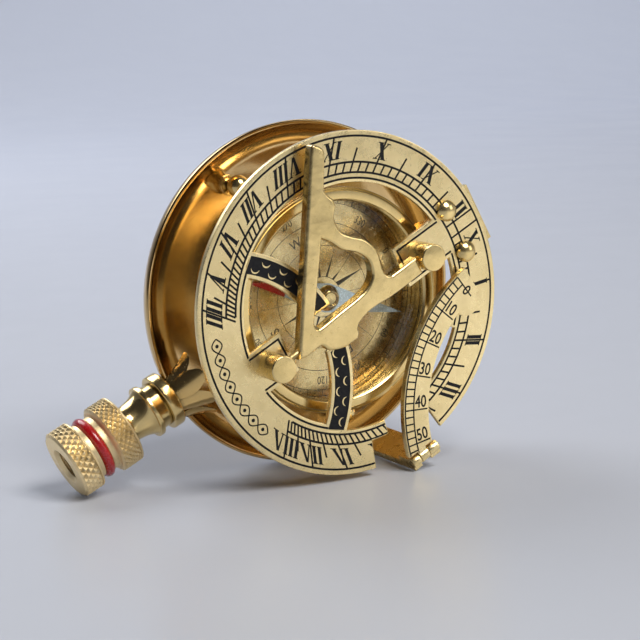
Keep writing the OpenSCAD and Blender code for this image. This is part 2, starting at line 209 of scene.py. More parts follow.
def lathe(profile, segments=128, closed=True):
    """Turns (radius, z) points about z. A closed profile makes a ring or, with zero radii, a solid."""
    verts = []
    rows = []
    for r, z in profile:
        if r < 1e-6:
            rows.append([len(verts)] * segments)
            verts.append((0, 0, z))
            continue
        rows.append(list(range(len(verts), len(verts) + segments)))
        verts += [(r * math.cos(2 * math.pi * k / segments), r * math.sin(2 * math.pi * k / segments), z)
                  for k in range(segments)]
    faces = []
    pairs = list(zip(rows, rows[1:]))
    if closed and profile[0][0] > 1e-6 and profile[-1][0] > 1e-6:
        pairs.append((rows[-1], rows[0]))
    for low, high in pairs:
        for k in range(segments):
            n = (k + 1) % segments
            face = []
            for i in (low[k], low[n], high[n], high[k]):
                if i not in face:
                    face.append(i)
            if len(face) > 2:
                faces.append(face)
    return verts, faces


def turned(name, body, profile, mats, radius=0.2, place=None, nodes=(), segments=128):
    """A lathe-turned piece with softened corners."""
    closed = not (profile[0][0] < 1e-6 and profile[-1][0] < 1e-6)
    verts, faces = lathe(rounded(profile, radius, closed=closed), segments, closed)
    return piece(name, body, verts, faces, mats, place=place, nodes=nodes)


def circle(radius, centre=(0, 0), steps=180):
    return [Vector(centre) + radius * heading(360 * k / steps) for k in range(steps)]


def arc_points(radius, a0, a1, centre=(0, 0)):
    step = 2.0      # degrees
    count = max(2, int(abs(a1 - a0) / step) + 1)
    return [Vector(centre) + radius * heading(a0 + (a1 - a0) * k / count) for k in range(count + 1)]


def sector(r0, r1, a0, a1):
    """Closed loop of an annular sector."""
    return arc_points(r1, a0, a1) + arc_points(r0, a1, a0)


def box(x0, y0, x1, y1):
    """Closed loop of an upright rectangle."""
    return [Vector((x0, y0)), Vector((x1, y0)), Vector((x1, y1)), Vector((x0, y1))]


def stroke(p, q, width):
    """Closed loop of a straight stroke."""
    p = Vector(p)
    q = Vector(q)
    side = (q - p).normalized() * width / 2
    side = Vector((-side.y, side.x))
    return [p + side, q + side, q - side, p - side]


def path_stroke(points, width):
    """Closed loop of a stroke that follows a line."""
    left = []
    right = []
    count = len(points)
    for i, p in enumerate(points):
        a = Vector(points[max(i - 1, 0)])
        b = Vector(points[min(i + 1, count - 1)])
        d = (b - a).normalized()
        side = Vector((-d.y, d.x)) * width / 2
        left.append(Vector(p) + side)
        right.append(Vector(p) - side)
    return left + right[::-1]


def area(loop):
    return sum(a.x * b.y - b.x * a.y for a, b in zip(loop, loop[1:] + loop[:1])) / 2


def arrange(groups):
    """Cuts overlapping loops into triangles. groups maps a name to a list of glyphs, each a list of loops.
    Returns points, triangles and, for each triangle, the names of the groups that cover it."""
    verts = []
    faces = []
    owners = []
    for name, glyphs in groups.items():
        for g, loops in enumerate(glyphs):
            for loop in loops:
                loop = loop if area(loop) > 0 else loop[::-1]
                faces.append(list(range(len(verts), len(verts) + len(loop))))
                verts += [Vector((p[0], p[1])) for p in loop]
                owners.append((name, g))
    points, _, tris, _, _, sources = delaunay_2d_cdt(verts, [], faces, 0, 1e-5)
    cover = []
    for source in sources:
        counts = {}
        for s in source:
            counts[owners[s]] = counts.get(owners[s], 0) + 1
        cover.append({name for (name, _), n in counts.items() if n % 2})
    return points, tris, cover


def outlines(groups, inside):
    """Boundary loops of the region where inside(names) is true, with the region on the left."""
    points, tris, cover = arrange(groups)
    edges = set()
    for tri, names in zip(tris, cover):
        if inside(names):
            for a, b in zip(tri, tri[1:] + tri[:1]):
                if (b, a) in edges:
                    edges.remove((b, a))
                else:
                    edges.add((a, b))
    follow = {}
    for a, b in edges:
        follow.setdefault(a, []).append(b)
    loops = []
    while follow:
        start = next(iter(follow))
        loop = [start]
        at = start
        while True:
            nxt = follow[at].pop()
            if not follow[at]:
                del follow[at]
            if nxt == start:
                break
            loop.append(nxt)
            at = nxt
        clean = []
        for i in loop:
            p = Vector(points[i])
            if not clean or (p - clean[-1]).length > 0.04:
                clean.append(p)
        if len(clean) > 3 and abs(area(clean)) > 0.05:
            loops.append(clean)
    return loops


def inset(loop, d):
    """Moves a loop to its left by d, with mitred corners."""
    out = []
    count = len(loop)
    for i, p in enumerate(loop):
        u = (p - loop[i - 1]).normalized()
        v = (loop[(i + 1) % count] - p).normalized()
        n = Vector((-u.y, u.x)) + Vector((-v.y, v.x))
        if n.length < 1e-6:
            n = Vector((-u.y, u.x))
        n.normalize()
        share = max(n.dot(Vector((-u.y, u.x))), 0.5)
        out.append(p + n * d / share)
    return out


def quarter(radius, steps):
    """Offsets (inward, down) of a rounded edge, from the side to the face."""
    turns = [math.pi / 2 * k / steps for k in range(steps + 1)]
    return [(radius * (1 - math.cos(a)), radius * (1 - math.sin(a))) for a in turns]


def sheet(loops, z_top, z_bottom, edge=0.25, steps=2, ink=(), depth=ENGRAVING, back_edge=None):
    """A flat piece cut to loops, with rounded edges and glyphs sunk in its face. Returns a Solid:
    material 0 is the metal and 1 is the filling of the glyphs."""
    solid = Solid()
    back_edge = edge if back_edge is None else back_edge
    top_loops = []
    bottom_loops = []
    for loop in loops:
        n = len(loop)
        rows = []
        for inward, down in quarter(back_edge, steps)[::-1]:
            rows.append([(p.x, p.y, z_bottom + down) for p in inset(loop, inward)])
        for inward, down in quarter(edge, steps):
            rows.append([(p.x, p.y, z_top - down) for p in inset(loop, inward)])
        verts = [v for row in rows for v in row]
        faces = [[r * n + k, r * n + (k + 1) % n, (r + 1) * n + (k + 1) % n, (r + 1) * n + k]
                 for r in range(len(rows) - 1) for k in range(n)]
        solid.add(verts, faces)
        bottom_loops.append([Vector(v[:2]) for v in rows[0]])
        top_loops.append([Vector(v[:2]) for v in rows[-1]])
    groups = {"plan": [top_loops], "ink": list(ink)}
    points, tris, cover = arrange(groups)
    kinds = [0 if "plan" not in names else (2 if "ink" in names else 1) for names in cover]
    verts = [(p[0], p[1], z_top) for p in points] + [(p[0], p[1], z_top - depth) for p in points]
    count = len(points)
    faces = []
    picks = []
    sides = {}
    for tri, kind in zip(tris, kinds):
        if not kind:
            continue
        faces.append([i + count * (kind == 2) for i in tri])
        picks.append(1 if kind == 2 else 0)
        for a, b in zip(tri, tri[1:] + tri[:1]):
            sides[(a, b)] = kind
    for (a, b), kind in sides.items():
        if kind == 2 and sides.get((b, a)) != 2:
            faces.append([a, b, b + count, a + count])
            picks.append(1)
    solid.add(verts, faces, picks)
    points, tris, cover = arrange({"plan": [bottom_loops]})
    flat = [t[::-1] for t, names in zip(tris, cover) if "plan" in names]
    solid.add([(p[0], p[1], z_bottom) for p in points], flat)
    return solid


def sheet_piece(name, body, solid, mats, nodes=(), place=None, angle=40):
    used = sorted({i for f in solid.faces for i in f})
    renumber = {old: new for new, old in enumerate(used)}
    verts = [solid.verts[i] for i in used]
    faces = [[renumber[i] for i in f] for f in solid.faces]
    return piece(name, body, verts, faces, mats, solid.picks, place=place, nodes=nodes,
                 angle=angle, weighted=True, recalc=False)


def text_loops(text, size=1.0, stretch=1.0, bold=0.0):
    """Loops of plain sans letters, centred on their own box, size being the height of a capital."""
    curve = bpy.data.curves.new("glyphs", "FONT")
    curve.body = text
    curve.resolution_u = 4
    curve.offset = bold
    obj = link(bpy.data.objects.new("glyphs", curve))
    mesh = bpy.data.meshes.new_from_object(obj.evaluated_get(bpy.context.evaluated_depsgraph_get()))
    bm = bmesh.new()
    bm.from_mesh(mesh)
    loops = []
    seen = set()
    for e in bm.edges:
        if not e.is_boundary or e in seen:
            continue
        loop = []
        edge = e
        vert = e.verts[0]
        while edge not in seen:
            seen.add(edge)
            loop.append(Vector(vert.co.xy))
            vert = edge.other_vert(vert)
            edge = next((x for x in vert.link_edges if x.is_boundary and x not in seen), edge)
        loops.append(loop)
    bm.free()
    bpy.data.objects.remove(obj)
    bpy.data.meshes.remove(mesh)
    bpy.data.curves.remove(curve)
    xs = [p.x for loop in loops for p in loop]
    ys = [p.y for loop in loops for p in loop]
    middle = Vector(((min(xs) + max(xs)) / 2, (min(ys) + max(ys)) / 2))
    scale = size / (max(ys) - min(ys))
    return [[Vector(((p.x - middle.x) * scale * stretch, (p.y - middle.y) * scale)) for p in loop]
            for loop in loops]


def lettering(text, at, right, up, size, stretch, bold=0.0):
    """Loops of letters centred on a point, reading along right."""
    return [[at + right * p.x + up * p.y for p in loop] for loop in text_loops(text, size, stretch, bold)]


# ---------------------------------------------------------------- materials


class Nodes:
    """A small helper for building a node material."""

    def __init__(self, name):
        self.mat = bpy.data.materials.new(name)
        self.mat.use_nodes = True
        self.tree = self.mat.node_tree
        self.shader = self.tree.nodes["Principled BSDF"]
        self.out = self.tree.nodes["Material Output"]
        coords = self.new("ShaderNodeTexCoord")
        self.mm = self.new("ShaderNodeMapping")
        self.mm.inputs["Scale"].default_value = (1 / MM,) * 3
        self.link(coords.outputs["Object"], self.mm.inputs["Vector"])

    def new(self, kind, **values):
        node = self.tree.nodes.new(kind)
        for key, value in values.items():
            setattr(node, key, value)
        return node

    def link(self, a, b):
        self.tree.links.new(a, b)

    def noise(self, scale, detail=4, rough=0.55):
        n = self.new("ShaderNodeTexNoise")
        n.inputs["Scale"].default_value = scale
        n.inputs["Detail"].default_value = detail
        n.inputs["Roughness"].default_value = rough
        self.link(self.mm.outputs[0], n.inputs["Vector"])
        return n.outputs["Fac"]

    def remap(self, value, low, high, to_low, to_high):
        m = self.new("ShaderNodeMapRange")
        self.link(value, m.inputs["Value"])
        for key, number in zip(("From Min", "From Max", "To Min", "To Max"), (low, high, to_low, to_high)):
            m.inputs[key].default_value = number
        return m.outputs["Result"]

    def mix(self, factor, a, b):
        m = self.new("ShaderNodeMix", data_type="RGBA")
        self.link(factor, m.inputs[0])
        for socket, colour in ((m.inputs[6], a), (m.inputs[7], b)):
            if isinstance(colour, tuple):
                socket.default_value = (*colour, 1)
            else:
                self.link(colour, socket)
        return m.outputs[2]

    def math(self, operation, a, b):
        m = self.new("ShaderNodeMath", operation=operation)
        for socket, value in ((m.inputs[0], a), (m.inputs[1], b)):
            if isinstance(value, (int, float)):
                socket.default_value = value
            else:
                self.link(value, socket)
        return m.outputs[0]

    def bump(self, height, distance):
        b = self.new("ShaderNodeBump")
        b.inputs["Strength"].default_value = 1.0
        b.inputs["Distance"].default_value = distance * MM
        self.link(height, b.inputs["Height"])
        self.link(b.outputs[0], self.shader.inputs["Normal"])


def metal(name, colour, tarnish, rough, mottle=0.35, grain=0.01, grain_scale=3.0, wave=0.0,
          painted_corner_shade=0.0):
    """Metal with tarnish in soft clouds, fine scratches and, where wanted, painted shade in the corners."""
    n = Nodes(name)
    clouds = n.noise(0.16, 5, 0.6)
    specks = n.noise(2.2, 6, 0.7)
    patch = n.math("MULTIPLY", n.remap(clouds, 0.42, 0.72, 0.0, 1.0), mottle)
    patch = n.math("ADD", patch, n.remap(specks, 0.60, 0.78, 0.0, mottle * 0.45))
    tint = n.mix(patch, colour, tarnish)
    if painted_corner_shade:
        # Painted shade: where ambient occlusion finds corners and crevices, the colour is darkened towards a deep
        # tarnish tone.
        ao = n.new("ShaderNodeAmbientOcclusion", samples=6, only_local=False)
        ao.inputs["Distance"].default_value = 1.2 * MM
        corner_shade_amount = n.remap(ao.outputs["AO"], 0.35, 0.95, painted_corner_shade, 0.0)
        tint = n.mix(corner_shade_amount, tint, tuple(0.35 * c for c in tarnish))
    n.link(tint, n.shader.inputs["Base Color"])
    n.shader.inputs["Metallic"].default_value = 1.0
    smear = n.noise(0.5, 5, 0.6)
    fine = n.noise(grain_scale, 3, 0.6)
    roughness = n.math("ADD", n.remap(smear, 0.3, 0.7, rough * 0.75, rough * 1.35),
                       n.remap(fine, 0.3, 0.75, -rough * 0.12, rough * 0.25))
    n.link(roughness, n.shader.inputs["Roughness"])
    height = n.math("ADD", fine, n.math("MULTIPLY", n.noise(0.22, 2, 0.5), wave))
    n.bump(height, grain)
    return n.mat


def paint(name, colour, other, rough, coat=0.0, bump=0.004, scale=2.0, metallic=0.0, specular=0.5):
    """Enamel, print or rubber: a mottled colour with a faint orange-peel surface."""
    n = Nodes(name)
    clouds = n.noise(0.8 * scale, 4, 0.6)
    n.link(n.mix(n.remap(clouds, 0.35, 0.7, 0.0, 1.0), colour, other), n.shader.inputs["Base Color"])
    n.link(n.remap(n.noise(1.6 * scale, 5), 0.3, 0.7, rough * 0.8, rough * 1.3), n.shader.inputs["Roughness"])
    n.shader.inputs["Metallic"].default_value = metallic
    n.shader.inputs["Specular IOR Level"].default_value = specular
    n.shader.inputs["Coat Weight"].default_value = coat
    n.shader.inputs["Coat Roughness"].default_value = 0.06
    n.bump(n.noise(3 * scale, 3), bump)
    return n.mat


def clear_glass(name):
    """Thin clear crystal: light passes straight through, with a mirror's share by angle."""
    n = Nodes(name)
    clear = n.new("ShaderNodeBsdfTransparent")
    clear.inputs[0].default_value = (0.985, 0.99, 0.985, 1)
    gloss = n.new("ShaderNodeBsdfGlossy")
    n.link(n.remap(n.noise(0.4, 4), 0.3, 0.8, 0.01, 0.05), gloss.inputs["Roughness"])
    fresnel = n.new("ShaderNodeFresnel")
    fresnel.inputs["IOR"].default_value = 1.5
    blend = n.new("ShaderNodeMixShader")
    n.link(n.math("MULTIPLY", fresnel.outputs[0], 0.4), blend.inputs[0])
    n.link(clear.outputs[0], blend.inputs[1])
    n.link(gloss.outputs[0], blend.inputs[2])
    n.link(blend.outputs[0], n.out.inputs["Surface"])
    return n.mat


BRASS = (0.90, 0.73, 0.39)
face_brass = metal("face_brass", BRASS, (0.62, 0.47, 0.20), 0.27, 0.40, 0.005, 5.0)
cast_brass = metal("cast_brass", (0.82, 0.63, 0.29), (0.50, 0.36, 0.13), 0.20, 0.45, 0.008, 2.4, wave=20)
# The turned, knurled and leaf materials darken their corners with painted shade.
turned_brass = metal("turned_brass", (0.82, 0.62, 0.28), (0.56, 0.40, 0.15), 0.16, 0.3, 0.002, 3.0, painted_corner_shade=0.6)
knurl_brass = metal("knurl_brass", (0.92, 0.74, 0.43), (0.66, 0.49, 0.24), 0.40, 0.4, 0.004, 3.0, painted_corner_shade=0.3)
case_brass = metal("case_brass", (0.78, 0.58, 0.27), (0.52, 0.36, 0.14), 0.18, 0.3, 0.003, 2.0, wave=1.0)
gold = metal("polished_gold", (0.68, 0.48, 0.23), (0.44, 0.28, 0.11), 0.12, 0.35, 0.002, 1.6, wave=3.0)
leaf_gold = metal("leaf_gold", (0.72, 0.50, 0.20), (0.46, 0.28, 0.09), 0.20, 0.35, 0.002, 1.6, wave=3.0,
                  painted_corner_shade=0.8)
pin_metal = metal("pin_metal", (0.42, 0.31, 0.14), (0.20, 0.14, 0.06), 0.35, 0.5, 0.01, 3.0)
enamel = paint("black_enamel", (0.004, 0.004, 0.006), (0.014, 0.014, 0.015), 0.42, specular=0.2)
card = metal("dial_card", (0.90, 0.71, 0.37), (0.72, 0.53, 0.22), 0.24, 0.5, 0.002, 3.0, wave=2.0)
print_ink = paint("print_ink", (0.03, 0.025, 0.015), (0.09, 0.07, 0.04), 0.5)
red_rubber = paint("red_rubber", (0.42, 0.003, 0.006), (0.31, 0.002, 0.004), 0.26, coat=0.5, bump=0.006)
red_enamel = paint("red_enamel", (0.60, 0.03, 0.02), (0.45, 0.015, 0.012), 0.28, coat=0.4)
blue_steel = paint("pale_steel", (0.72, 0.82, 0.86), (0.52, 0.64, 0.70), 0.24, metallic=0.4)
crystal = clear_glass("crystal")

# ---------------------------------------------------------------- hour ring


def on_hour_line(theta, r):
    """Point at radius r on the line that leaves the foot at angle theta, counter-clockwise from noon."""
    d = heading(theta)
    foot = Vector((0, FOOT_Y))
    along = foot.dot(d)
    return foot + d * (-along + math.sqrt(along * along - foot.length_squared + r * r))


def hour_angle(side, h):
    """Angle of the line h hours from noon. side is 1 before noon and -1 after it."""
    return side * (HOUR_START + HOUR_STEP * h)


def ring_loops():
    """Plan of the ring, with its lugs and enamelled band, open at the notch."""
    groups = {
        "disc": [[circle(RING_R, steps=240), circle(INNER_EDGE, steps=200)]],
        "margin": [[sector(MARGIN_EDGE, INNER_EDGE + 0.1, *m)] for m in PLAIN_MARGINS],
        "lugs": [[box(-LUG_HALF, NORTH_LUG_Y, LUG_HALF, INNER_EDGE)],
                 [box(-LUG_HALF, -INNER_EDGE, LUG_HALF, SOUTH_LUG_Y)]],
        "band": [[band_loop(-1, BAND_EDGES, BAND_SLOT[0], INNER_EDGE + 0.1)],
                 [band_loop(1, BAND_EDGES, BAND_SLOT[1], INNER_EDGE + 0.1)]],
        "notch": [[sector(NOTCH_R, RING_R + 1, *NOTCH)]],
        "gate": [[sector(MARGIN_EDGE - 1, NOTCH_R + 0.1, *GATE)]],
    }

    def inside(names):
        solid = names & {"disc", "margin", "lugs", "band"}
        return bool(solid) and not names & {"notch", "gate"}

    return outlines(groups, inside)


def band_loop(side, radii, slot_x, ring_r):
    """Loop of one half of the band, from its slot to the ring. side is -1 for west and 1 for east."""
    centre = Vector((0, BAND_CENTRE_Y))

    def turn_at_ring(r):
        c = (r * r + BAND_CENTRE_Y ** 2 - ring_r ** 2) / (2 * abs(BAND_CENTRE_Y) * r)
        return math.degrees(math.acos(c))

    def turn_at_slot(r):
        return math.degrees(math.asin(abs(slot_x) / r))

    inner = arc_points(radii[0], -side * turn_at_slot(radii[0]), -side * turn_at_ring(radii[0]), centre)
    outer = arc_points(radii[1], -side * turn_at_ring(radii[1]), -side * turn_at_slot(radii[1]), centre)
    return inner + outer


def crescent(centre, toward, size=1.05, thick=0.42):
    """A crescent whose back faces the direction toward."""
    toward = toward.normalized()
    side = Vector((-toward.y, toward.x))
    outer = []
    inner = []
    for k in range(-6, 7):
        a = math.radians(13 * k)
        t = thick * math.cos(math.pi / 2 * k / 6.5)
        ring_point = toward * math.cos(a) + side * math.sin(a)
        outer.append(centre + ring_point * (size + t / 2))
        inner.append(centre + ring_point * (size - t / 2))
    return outer + inner[::-1]


def band_ink():
    """The enamel of the band, as glyphs whose crescents stay bare metal."""
    centre = Vector((0, BAND_CENTRE_Y))
    pitch = math.degrees(4.3 / 27.8)     # 4.3 mm between crescents, along the band's middle
    margin = 0.55                        # bare metal beside the slot
    glyphs = []
    for side, slot_x in ((-1, BAND_SLOT[0] - margin), (1, BAND_SLOT[1] + margin)):
        loops = [band_loop(side, BAND_ENAMEL, slot_x, INNER_LINE + 0.25)]
        first = math.degrees(math.asin(abs(slot_x) / 28)) + 2.6
        for k in range(14):
            for row, r in enumerate((27.35, 29.1)):
                turn = first + (k + 0.5 * row) * pitch
                at = centre + r * heading(-side * turn)
                if at.length < INNER_LINE - 1.1:
                    loops.append(crescent(at, centre - at, 1.0, 0.34))
        glyphs.append(loops)
    return glyphs


def numeral(text, middle, lean):
    """Roman figures standing on the outer side of the band. middle is the angle of their centre and
    lean turns their uprights from the radius towards the hour line, as a slope."""
    tall = NUMERAL_FOOT - NUMERAL_TOP
    thick = 0.80
    thin = 0.32
    widths = {"I": 1.38, "V": 3.0, "X": 3.1}
    total = sum(widths[c] for c in text)
    glyphs = []

    def put(x, y):
        """x runs counter-clockwise along the band and y from the feet inward."""
        r = NUMERAL_FOOT - y
        shift = x + lean * (tall / 2 - y)
        return r * heading(middle + math.degrees(shift / r))

    def bar(x0, y0, x1, y1, w0, w1=None):
        w1 = w0 if w1 is None else w1
        glyphs.append([[put(x0 - w0 / 2, y0), put(x0 + w0 / 2, y0), put(x1 + w1 / 2, y1),
                        put(x1 - w1 / 2, y1)]])

    def serif(x, y, half):
        bar(x, y - 0.12, x, y + 0.12, 2 * half)

    x = -total / 2
    for c in text:
        w = widths[c]
        mid = x + w / 2
        if c == "I":
            bar(mid, 0, mid, tall, thick)
            serif(mid, 0.1, 0.60)
            serif(mid, tall - 0.1, 0.60)
        elif c == "V":
            bar(mid - 0.95, tall, mid + 0.12, 0, thick + 0.1, thick * 0.7)
            bar(mid + 1.05, tall, mid + 0.22, 0, thin, thin + 0.1)
            serif(mid - 0.95, tall - 0.1, 0.75)
            serif(mid + 1.05, tall - 0.1, 0.5)
        else:
            bar(mid - 0.95, tall, mid + 0.95, 0, thick + 0.1)
            bar(mid + 0.98, tall, mid - 0.98, 0, thin)
            serif(mid - 0.95, tall - 0.1, 0.7)
            serif(mid + 0.98, tall - 0.1, 0.5)
            serif(mid + 0.95, 0.1, 0.7)
            serif(mid - 0.98, 0.1, 0.5)
        x += w
    return glyphs


def guilloche(a0, a1, r):
    """Two interlaced waves with a dot in each eye, for the sector that has no hours."""
    waves = 4
    swing = 1.15
    steps = 160
    line = 0.30

    def at(t, sign):
        lift = sign * swing * math.sin(2 * math.pi * waves * t)
        return (r + lift) * heading(a0 + (a1 - a0) * t)

    glyphs = [[path_stroke([at(k / steps, sign) for k in range(steps + 1)], line)] for sign in (-1, 1)]
    for k in range(2 * waves):
        glyphs.append([circle(0.40, at((k + 0.5) / (2 * waves), 0), 20)])
    return glyphs


def ring_ink():
    glyphs = []
    end = 151.5         # where the tick band stops, in degrees from noon
    gap = 9.2           # half the width of a lug, in degrees
    glyphs.append([circle(LINE_R + LINE_W / 2, steps=240), circle(LINE_R - LINE_W / 2, steps=240)])
    for r in (BAND_OUT, BAND_IN):
        glyphs.append([sector(r - LINE_W / 2, r + LINE_W / 2, -end, end)])
    for h in range(1, HOURS + 1):
        for side in (-1, 1):
            theta = hour_angle(side, h)
            glyphs.append([stroke(on_hour_line(theta, BAND_IN), on_hour_line(theta, LINE_R), TICK_W)])
    for k in range(1, HOURS * DIVISIONS):
        if k % DIVISIONS == 0:
            continue
        half = k % DIVISIONS == DIVISIONS // 2
        for side in (-1, 1):
            theta = hour_angle(side, k / DIVISIONS)
            stop = 0.93 * LINE_R if half else BAND_OUT
            glyphs.append([stroke(on_hour_line(theta, BAND_IN), on_hour_line(theta, stop), TICK_W)])
    for x in (-NOON_GAP, NOON_GAP):
        glyphs.append([stroke((x, BAND_IN), (x, math.sqrt(LINE_R ** 2 - x * x)), TICK_W)])
    west = ("XI", "X", "IX", "VIII", "VII", "VI", "V", "IIII")
    east = ("I", "II", "III", "IIII", "V", "VI", "VII", "VIII")
    middle_r = (NUMERAL_FOOT + NUMERAL_TOP) / 2
    for side, names in ((1, west), (-1, east)):
        for h, text in enumerate(names, 1):
            theta = hour_angle(side, h)
            p = on_hour_line(theta, middle_r)
            a = math.degrees(math.atan2(-p.x, p.y))
            lean = math.tan(math.radians(theta - a))
            glyphs += numeral(text, a, lean)
    glyphs += numeral("X", -7.6, 0.0) + numeral("II", 5.4, 0.0)
    glyphs += guilloche(158.5, 201.5, middle_r)
    lug_line = LUG_HALF - 1.0
    for a0, a1 in ((130.5, 180 - gap), (180 + gap, 227.5), (-44, -gap), (gap, 81)):
        glyphs.append([sector(INNER_LINE - LINE_W / 2, INNER_LINE + LINE_W / 2, a0, a1)])
    for y in (NORTH_LUG_Y + 1.0, SOUTH_LUG_Y - 1.0):
        far = math.copysign(math.sqrt(INNER_LINE ** 2 - lug_line ** 2), y)
        glyphs.append([stroke((-lug_line - LINE_W / 2, y), (lug_line + LINE_W / 2, y), LINE_W)])
        for x in (-lug_line, lug_line):
            glyphs.append([stroke((x, y), (x, far), LINE_W)])
    return glyphs + band_ink()


def build_ring():
    solid = sheet(ring_loops(), RING_FACE, RING_BACK, 0.22, 2, ring_ink())
    sheet_piece("hour_ring_engraved", "ring", solid, [face_brass, enamel], ["hour_ring"])


def build_posts():
    lo, hi = span("gnomon_posts")
    r = (hi.x - lo.x) / 2
    for name, y in (("north", hi.y - r), ("south", lo.y + r)):
        place = DIAL @ Matrix.Translation((0, y, 0))
        profile = [(0, RING_FACE - 0.6), (r, RING_FACE - 0.6), (r, hi.z), (0, hi.z)]
        turned("gnomon_post_" + name, "ring", profile, cast_brass, 0.32, place, ["gnomon_posts"])


def build_rivets():
    lo, hi = span("ring_rivets")
    r = (hi.y - lo.y) / 2
    skirt = 0.75
    top = hi.z - RING_FACE - skirt
    dome = (r * r + top * top) / (2 * top)
    profile = [(0, RING_FACE - 0.5), (r, RING_FACE - 0.5), (r, RING_FACE + skirt)]
    reach_angle = math.asin(min(1.0, r / dome))
    for k in range(1, 13):
        a = reach_angle * (1 - k / 12)
        profile.append((dome * math.sin(a), hi.z - dome + dome * math.cos(a)))
    y = (hi.y + lo.y) / 2
    for name, x in (("west", lo.x + r), ("east", hi.x - r)):
        place = DIAL @ Matrix.Translation((x, y, 0))
        verts, faces = lathe(profile, 64, False)
        piece("ring_rivet_" + name, "ring", verts, faces, cast_brass, place=place, nodes=["ring_rivets"])


# ---------------------------------------------------------------- gnomon


def bend(p, q, r, n=8):
    """Quadratic curve from p to r, steered by q, without its last point."""
    p, q, r = Vector(p), Vector(q), Vector(r)
    return [(1 - t) ** 2 * p + 2 * t * (1 - t) * q + t * t * r for t in [i / n for i in range(n)]]


def curve_loop(points, n=6):
    """Closed Catmull-Rom curve through points. A point given as a list is a sharp corner."""
    out = []
    count = len(points)
    for i in range(count):
        p0, p1, p2, p3 = (Vector(tuple(points[(i + k) % count])) for k in (-1, 0, 1, 2))
        corner_a = isinstance(points[i], list)
        corner_b = isinstance(points[(i + 1) % count], list)
        m1 = (p2 - p0) * 0.5 if not corner_a else (p2 - p1)
        m2 = (p3 - p1) * 0.5 if not corner_b else (p2 - p1)
        m1 = m1.normalized() * min(m1.length, (p2 - p1).length) if m1.length > 0 else m1
        m2 = m2.normalized() * min(m2.length, (p2 - p1).length) if m2.length > 0 else m2
        straight = corner_a and corner_b
        steps = 1 if straight else n
        for k in range(steps):
            t = k / steps
            h = (2 * t ** 3 - 3 * t ** 2 + 1, t ** 3 - 2 * t ** 2 + t,
                 -2 * t ** 3 + 3 * t ** 2, t ** 3 - t ** 2)
            out.append(h[0] * p1 + h[1] * m1 + h[2] * p2 + h[3] * m2)
    return out


def build_gnomon():
    lo, hi = span("gnomon")
    outer = curve_loop([
        [0.9, -18.3], (1.5, -16.2), (1.5, -12.4), (3.4, -11.2), (4.9, -8.2), [5.15, -4.3], [4.3, -3.4],
        [3.3, -3.3], (2.45, -2.3), (1.75, 0.4), (1.7, 3.0), (2.05, 6.5), (2.1, 11.4), [1.95, 16.05],
        [-1.9, 16.05], [-1.95, 9.4], (-2.7, 8.3), (-4.6, 8.1), (-7.8, 8.75), (-10.0, 8.4), (-12.6, 7.1),
        (-14.6, 5.0), (-16.6, 3.4), (-18.9, 3.15), (-20.6, 3.6), (-21.9, 4.75), (-23.4, 5.0), (-24.8, 4.4),
        (-26.4, 4.2), [-31.5, 7.2], (-33.2, 8.0), (-34.7, 7.5), (-35.7, 6.2), [-34.6, 5.1], [0.1, -17.7]], 5)
    hole = curve_loop([
        [-17.9, -1.3], [-3.6, -11.5], (-2.4, -11.5), (-2.0, -10.6), (-2.2, -6.0), (-2.4, -0.6), (-2.9, 2.6),
        (-4.6, 5.1), (-7.6, 5.95), (-10.6, 4.5), (-13.2, 1.7), (-15.9, 0.2)], 5)
    outer = outer if area(outer) > 0 else outer[::-1]
    hole = hole if area(hole) < 0 else hole[::-1]
    solid = sheet([outer, hole], hi.z, lo.z, 0.68, 5, back_edge=0.4)
    sheet_piece("gnomon_cast", "gnomon", solid, [cast_brass, cast_brass], ["gnomon"], angle=50)


# ---------------------------------------------------------------- latitude arc


